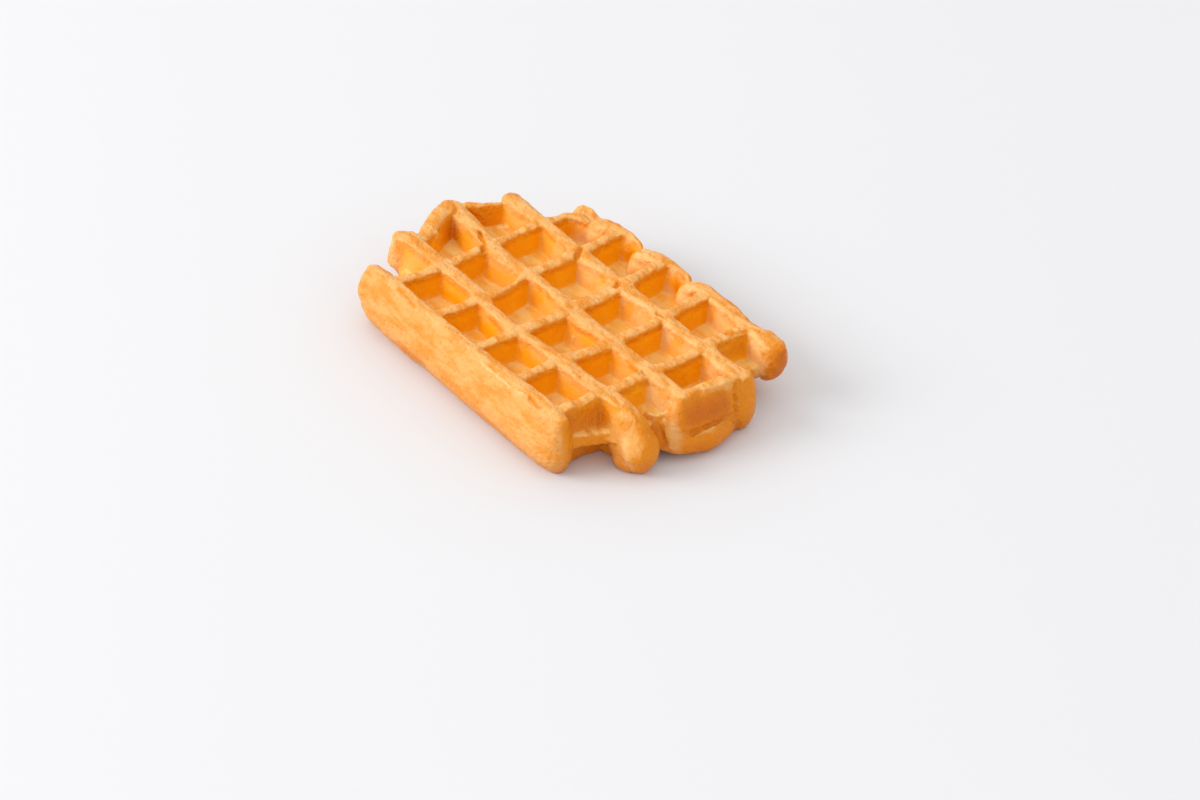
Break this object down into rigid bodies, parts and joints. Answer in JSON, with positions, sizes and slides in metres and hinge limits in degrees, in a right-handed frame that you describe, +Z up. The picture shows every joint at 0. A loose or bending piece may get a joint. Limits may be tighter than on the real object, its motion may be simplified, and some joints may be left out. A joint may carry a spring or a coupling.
{
  "type": "belgian waffle",
  "caption": "Rectangular Belgian waffle: a grid of deep square pockets on both faces over a thin web, ridges with rounded uneven ends, and a plain sloping band along one side.",
  "frame": {"origin": "under the middle of the waffle, on the plane that its lower ridges rest on", "axes": "+X along the rows of pockets, the waffle's longest side, towards the end with the open corner pockets; +Y across the rows, away from the plain side band; +Z up, out of the upper face"},
  "size_m": [0.1542, 0.1046, 0.0245],
  "materials": {
    "glazed_crust": "golden baked crust under a thin sugar glaze"
  },
  "bodies": {
    "root": {"waffle": "glazed_crust"}
  },
  "joints": []
}
